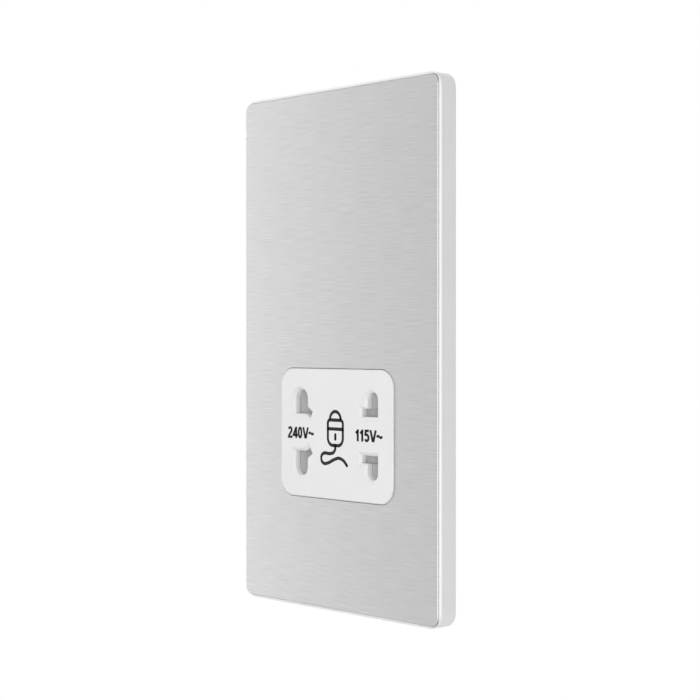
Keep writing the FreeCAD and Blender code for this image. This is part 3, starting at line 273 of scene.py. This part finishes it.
# Rims of the pin openings
def is_opening_edge(edge, front, back):
    """An edge where a wall of a pin opening meets the back of the insert's front wall."""
    sharp = math.radians(60)
    faces_back = 0.99
    if len(edge.link_faces) != 2 or edge.calc_face_angle_signed() < sharp:
        return False
    if not all(front < vertex.co.y < back for vertex in edge.verts):
        return False
    return any(face.normal.y > faces_back for face in edge.link_faces)


def make_rims():
    """Rims that carry the walls of the pin openings on to just in front of the shutters."""
    gap = 0.08 * MM
    thick = 0.4 * MM
    past_bevel = 1 * MM
    same_spot = 0.001 * MM
    faces_sideways = 0.5
    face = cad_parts["socket_face"].data
    front = insert_face_y() + past_bevel
    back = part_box("shutter_240")[0].y - gap
    source = bmesh.new()
    source.from_mesh(face)
    bmesh.ops.remove_doubles(source, verts=source.verts[:], dist=same_spot)
    rims = bmesh.new()
    ends = {}
    for edge in source.edges:
        if not is_opening_edge(edge, front, back):
            continue
        wall = next(loop for loop in edge.link_loops
                    if abs(loop.face.normal.y) < faces_sideways)
        row = [wall.link_loop_next.vert, wall.vert]
        for vertex in row:
            if vertex not in ends:
                x, y, z = vertex.co
                ends[vertex] = (rims.verts.new((x, y, z)), rims.verts.new((x, back, z)))
        (near_a, far_a), (near_b, far_b) = (ends[vertex] for vertex in row)
        rims.faces.new((near_a, near_b, far_b, far_a))
    rims.normal_update()
    bmesh.ops.solidify(rims, geom=rims.faces[:], thickness=thick)
    mesh = bpy.data.meshes.new("opening_rims")
    rims.to_mesh(mesh)
    source.free()
    rims.free()
    piece = keep(mesh, "opening_rims", face.materials[0])


# Springs
def make_coils():
    """Copies of the springs on the socket body, each with its own mesh; each stands for its CAD
    node, which is hidden.
    """
    for rating in ("240", "115"):
        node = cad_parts["spring_" + rating]
        coil = bpy.data.objects.new("coil_" + rating, node.data.copy())
        bpy.context.scene.collection.objects.link(coil)
        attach(coil, BODY)
        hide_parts("spring_" + rating)
        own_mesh(coil)


# Print on the insert
def insert_face_y():
    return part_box("socket_face")[0][1] - PRINT_LIFT


def keep(mesh, name, material):
    """Adds a mesh as a piece of the socket body."""
    piece = bpy.data.objects.new(name, mesh)
    bpy.context.scene.collection.objects.link(piece)
    mesh.materials.clear()
    mesh.materials.append(material)
    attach(piece, BODY)
    return piece


def mitred(points, width, vertices, faces, closed=False):
    """A flat stroke of even width with square ends through points (x, z)."""
    mitre_limit = 0.45
    half = width / 2
    spots = [Vector(point) for point in points]
    count = len(spots)
    first = len(vertices)
    for index, spot in enumerate(spots):
        joins = []
        if index > 0 or closed:
            joins.append((spot - spots[index - 1]).normalized())
        if index < count - 1 or closed:
            joins.append((spots[(index + 1) % count] - spot).normalized())
        normals = [Vector((-heading.y, heading.x)) for heading in joins]
        normal = sum(normals, Vector((0.0, 0.0))).normalized()
        offset = normal * (half / max(mitre_limit, normal.dot(normals[0])))
        vertices.append(tuple(spot + offset))
        vertices.append(tuple(spot - offset))
    for index in range(count if closed else count - 1):
        here = first + 2 * index
        after = first + 2 * ((index + 1) % count)
        faces.append((here, here + 1, after + 1, after))


def oval(centre, radii, start, stop, steps=14):
    """Points (x, z) on part of an oval; angles in degrees."""
    points = []
    for step in range(steps + 1):
        angle = math.radians(start + (stop - start) * step / steps)
        points.append((centre[0] + radii[0] * math.cos(angle),
                       centre[1] + radii[1] * math.sin(angle)))
    return points


# Strokes of each character on a cell one unit high: (advance, [(points, closed)])
WEIGHT = 0.22
WAVE_WEIGHT = 0.2
CHARACTERS = {
    "0": (0.57, [(oval((0.27, 0.5), (0.17, 0.415), 0, 342, 19), True)]),
    "1": (0.47, [([(0.28, 0.0), (0.28, 1.0)], False), ([(0.3, 0.87), (0.06, 0.68)], False)]),
    "2": (0.57, [(oval((0.27, 0.7), (0.17, 0.215), 165, -20, 12)
                  + [(0.12, 0.19), (0.1, 0.08), (0.53, 0.08)], False)]),
    "4": (0.61, [([(0.6, 0.27), (0.09, 0.27), (0.41, 0.93)], False),
                 ([(0.42, 1.0), (0.42, 0.0)], False)]),
    "5": (0.57, [([(0.49, 0.915), (0.17, 0.915), (0.125, 0.5)], False),
                 (oval((0.27, 0.34), (0.18, 0.255), 135, -155, 14), False)]),
    "V": (0.73, [([(0.08, 1.0), (0.34, 0.02)], False), ([(0.63, 1.0), (0.37, 0.02)], False)]),
    "~": (0.5, [([(0.02, 0.42), (0.06, 0.51), (0.12, 0.56), (0.19, 0.54), (0.27, 0.48),
                  (0.36, 0.42), (0.44, 0.41), (0.5, 0.46), (0.54, 0.55)], False)]),
}


def print_words(name, words, x_range, z_range, ink):
    """Flat bold figures that fill a box on the insert's face, given in millimetres."""
    cursor = 0.0
    vertices = []
    faces = []
    for character in words:
        advance, strokes = CHARACTERS[character]
        weight = WAVE_WEIGHT if character == "~" else WEIGHT
        for points, closed in strokes:
            mitred([(cursor + x, z) for x, z in points], weight, vertices, faces, closed)
        cursor += advance
    left = min(x for x, z in vertices)
    right = max(x for x, z in vertices)
    wide = (x_range[1] - x_range[0]) / (right - left)
    high = z_range[1] - z_range[0]
    face = insert_face_y()
    mesh = bpy.data.meshes.new(name)
    mesh.from_pydata([((x_range[0] + (x - left) * wide) * MM, face, (z_range[0] + z * high) * MM)
                      for x, z in vertices], [], faces)
    mesh.update()
    return keep(mesh, name, ink)


def ribbon(points, width, vertices, faces):
    """A flat stroke with round ends through points (x, z) in millimetres."""
    mitred(points, width, vertices, faces)
    for x, z in (points[0], points[-1]):
        first = len(vertices)
        sides = 16
        for side in range(sides):
            angle = 2 * math.pi * side / sides
            vertices.append((x + width / 2 * math.cos(angle), z + width / 2 * math.sin(angle)))
        faces.append(tuple(range(first, first + sides)))


def arc_points(centre, radius, start, stop, steps=18):
    """Points (x, z) on a round arc; angles in degrees."""
    return oval(centre, (radius, radius), start, stop, steps)


def smooth_curve(points, steps=7):
    """Points (x, z) on a smooth curve through all of the given ones."""
    spots = [Vector(points[0])] + [Vector(point) for point in points] + [Vector(points[-1])]
    curve = []
    for before, start, stop, after in zip(spots, spots[1:], spots[2:], spots[3:]):
        for step in range(steps):
            t = step / steps
            spot = (start * 2 + (stop - before) * t
                    + (before * 2 - start * 5 + stop * 4 - after) * t ** 2
                    + (start * 3 - before - stop * 3 + after) * t ** 3) / 2
            curve.append(tuple(spot))
    return curve + [tuple(points[-1])]


def print_shaver(ink):
    """A line drawing of a foil shaver with its cord, in the middle of the insert."""
    stroke = 0.95
    body = arc_points((-2.1, -20.7), 1.0, 180, 90) + arc_points((2.5, -20.7), 1.0, 90, 0)
    body += arc_points((1.4, -24.7), 2.1, 0, -90) + arc_points((-1.0, -24.7), 2.1, -90, -180)
    body.append(body[0])
    strokes = [body]
    strokes.append(arc_points((0.2, -19.7), 2.4, 172, 8))
    strokes.append([(-3.1, -22.2), (3.5, -22.2)])
    strokes.append([(0.2, -23.8), (0.2, -25.0)])
    strokes.append(smooth_curve([(0.2, -26.8), (0.1, -27.9), (-0.8, -28.9), (-2.6, -29.2),
                                 (-4.6, -29.1), (-5.9, -29.9), (-5.9, -31.3), (-4.6, -32.1),
                                 (-2.6, -31.7), (-0.4, -30.8), (1.8, -30.3), (3.8, -30.9),
                                 (5.3, -32.2)]))
    vertices = []
    faces = []
    for points in strokes:
        ribbon(points, stroke, vertices, faces)
    mesh = bpy.data.meshes.new("shaver_drawing")
    face = insert_face_y()
    mesh.from_pydata([(x * MM, face, z * MM) for x, z in vertices], [], faces)
    mesh.update()
    return keep(mesh, "shaver_drawing", ink)


def print_insert():
    ink = moulded("print_ink", (0.012, 0.012, 0.013), 0.6, gloss=0.12)
    print_words("figures_240", "240V~", x_range=(-21.5, -9.3), z_range=(-25.45, -22.2), ink=ink)
    print_words("figures_115", "115V~", x_range=(8.8, 20.6), z_range=(-25.2, -21.9), ink=ink)
    print_shaver(ink)


# Stage, light and camera
def seen_rays(tree):
    """One for rays that show the background: the camera's, mirrored and see-through ones."""
    path = add_node(tree, "ShaderNodeLightPath")
    total = path.outputs["Is Camera Ray"]
    for kind in ("Is Glossy Ray", "Is Transmission Ray"):
        add = add_node(tree, "ShaderNodeMath", operation="ADD", use_clamp=True)
        tree.links.new(total, add.inputs[0])
        tree.links.new(path.outputs[kind], add.inputs[1])
        total = add.outputs[0]
    return total


def backdrop(name, solid):
    """White where it is seen, from its front alone; a solid one also sends light back."""
    material = bpy.data.materials.new(name)
    material.use_nodes = True
    tree = material.node_tree
    tree.nodes.clear()
    glow = add_node(tree, "ShaderNodeEmission")
    clear = add_node(tree, "ShaderNodeBsdfTransparent")
    unseen = add_node(tree, "ShaderNodeBsdfDiffuse" if solid else "ShaderNodeBsdfTransparent")
    side = add_node(tree, "ShaderNodeNewGeometry")
    front = add_node(tree, "ShaderNodeMixShader")
    choose = add_node(tree, "ShaderNodeMixShader")
    output = add_node(tree, "ShaderNodeOutputMaterial")
    tree.links.new(seen_rays(tree), front.inputs[0])
    tree.links.new(unseen.outputs[0], front.inputs[1])
    tree.links.new(glow.outputs[0], front.inputs[2])
    tree.links.new(side.outputs["Backfacing"], choose.inputs[0])
    tree.links.new(front.outputs[0], choose.inputs[1])
    tree.links.new(clear.outputs[0], choose.inputs[2])
    tree.links.new(choose.outputs[0], output.inputs["Surface"])
    return material


def plane(name, corners, material):
    mesh = bpy.data.meshes.new(name)
    mesh.from_pydata(corners, [], [(0, 1, 2, 3)])
    mesh.materials.append(material)
    thing = bpy.data.objects.new(name, mesh)
    bpy.context.scene.collection.objects.link(thing)
    return thing


def build_stage():
    """A white wall with a cut-out behind the plate, and a pale floor in front of it.

    The plate laps over the cut-out's edge all round.
    """
    reach = 0.45
    wall_y = 0.1 * MM
    lap = 4.0 * MM
    side_x = CAD_BOX[1][0] - lap
    side_z = CAD_BOX[1][2] - lap
    white = backdrop("wall_white", False)
    for name, x_range, z_range in (
            ("wall_left", (-reach, -side_x), (-reach, reach)),
            ("wall_right", (side_x, reach), (-reach, reach)),
            ("wall_below", (-side_x, side_x), (-reach, -side_z)),
            ("wall_above", (-side_x, side_x), (side_z, reach))):
        plane(name, [(x_range[0], wall_y, z_range[0]), (x_range[1], wall_y, z_range[0]),
                     (x_range[1], wall_y, z_range[1]), (x_range[0], wall_y, z_range[1])], white)
    plane("floor", [(-reach, -2 * reach, -reach), (reach, -2 * reach, -reach),
                    (reach, wall_y, -reach), (-reach, wall_y, -reach)],
          backdrop("floor_pale", True))


def area_light(name, place, extent, watts, mirrored=False):
    """A plain lamp aimed at the middle of the plate; shiny surfaces show a mirrored one."""
    lamp = bpy.data.lights.new(name, "AREA")
    lamp.shape = "RECTANGLE"
    lamp.size = extent[0]
    lamp.size_y = extent[1]
    lamp.energy = watts
    thing = bpy.data.objects.new(name, lamp)
    thing.location = place
    thing.rotation_euler = (-Vector(place)).to_track_quat("-Z", "Y").to_euler()
    thing.visible_glossy = mirrored
    bpy.context.scene.collection.objects.link(thing)


def build_light():
    """A soft even world that shows as white, and four lamps."""
    world = bpy.data.worlds.new("studio")
    bpy.context.scene.world = world
    world.use_nodes = True
    tree = world.node_tree
    tree.nodes.clear()
    soft = add_node(tree, "ShaderNodeBackground")
    white = add_node(tree, "ShaderNodeBackground")
    choose = add_node(tree, "ShaderNodeMixShader")
    output = add_node(tree, "ShaderNodeOutputWorld")
    soft.inputs["Color"].default_value = (1.0, 1.0, 1.0, 1.0)
    soft.inputs["Strength"].default_value = 0.34
    white.inputs["Color"].default_value = (1.0, 1.0, 1.0, 1.0)
    tree.links.new(seen_rays(tree), choose.inputs[0])
    tree.links.new(soft.outputs[0], choose.inputs[1])
    tree.links.new(white.outputs[0], choose.inputs[2])
    tree.links.new(choose.outputs[0], output.inputs["Surface"])
    area_light("key", (0.74, -0.74, -0.05), extent=(0.7, 0.7), watts=4.7, mirrored=True)
    area_light("above", (0.0, -0.5, 1.0), extent=(0.7, 0.7), watts=4.6)
    area_light("fill", (0.5, -0.2, -0.42), extent=(0.3, 0.3), watts=0.95)
    area_light("streak", (-1.15, -0.36, 0.0), extent=(0.3, 1.2), watts=6.9, mirrored=True)


def build_camera():
    camera = bpy.data.cameras.new("photo_camera")
    camera.sensor_width = SENSOR
    camera.lens = LENS
    thing = bpy.data.objects.new("photo_camera", camera)
    thing.location = CAMERA_PLACE
    thing.rotation_euler = (math.radians(CAMERA_TILT), 0.0, math.radians(CAMERA_TURN))
    bpy.context.scene.collection.objects.link(thing)
    bpy.context.scene.camera = thing


dress_nodes()
make_rims()
make_coils()
print_insert()
build_stage()
build_light()
build_camera()
bpy.context.scene.view_settings.view_transform = "Standard"
bpy.context.view_layer.update()
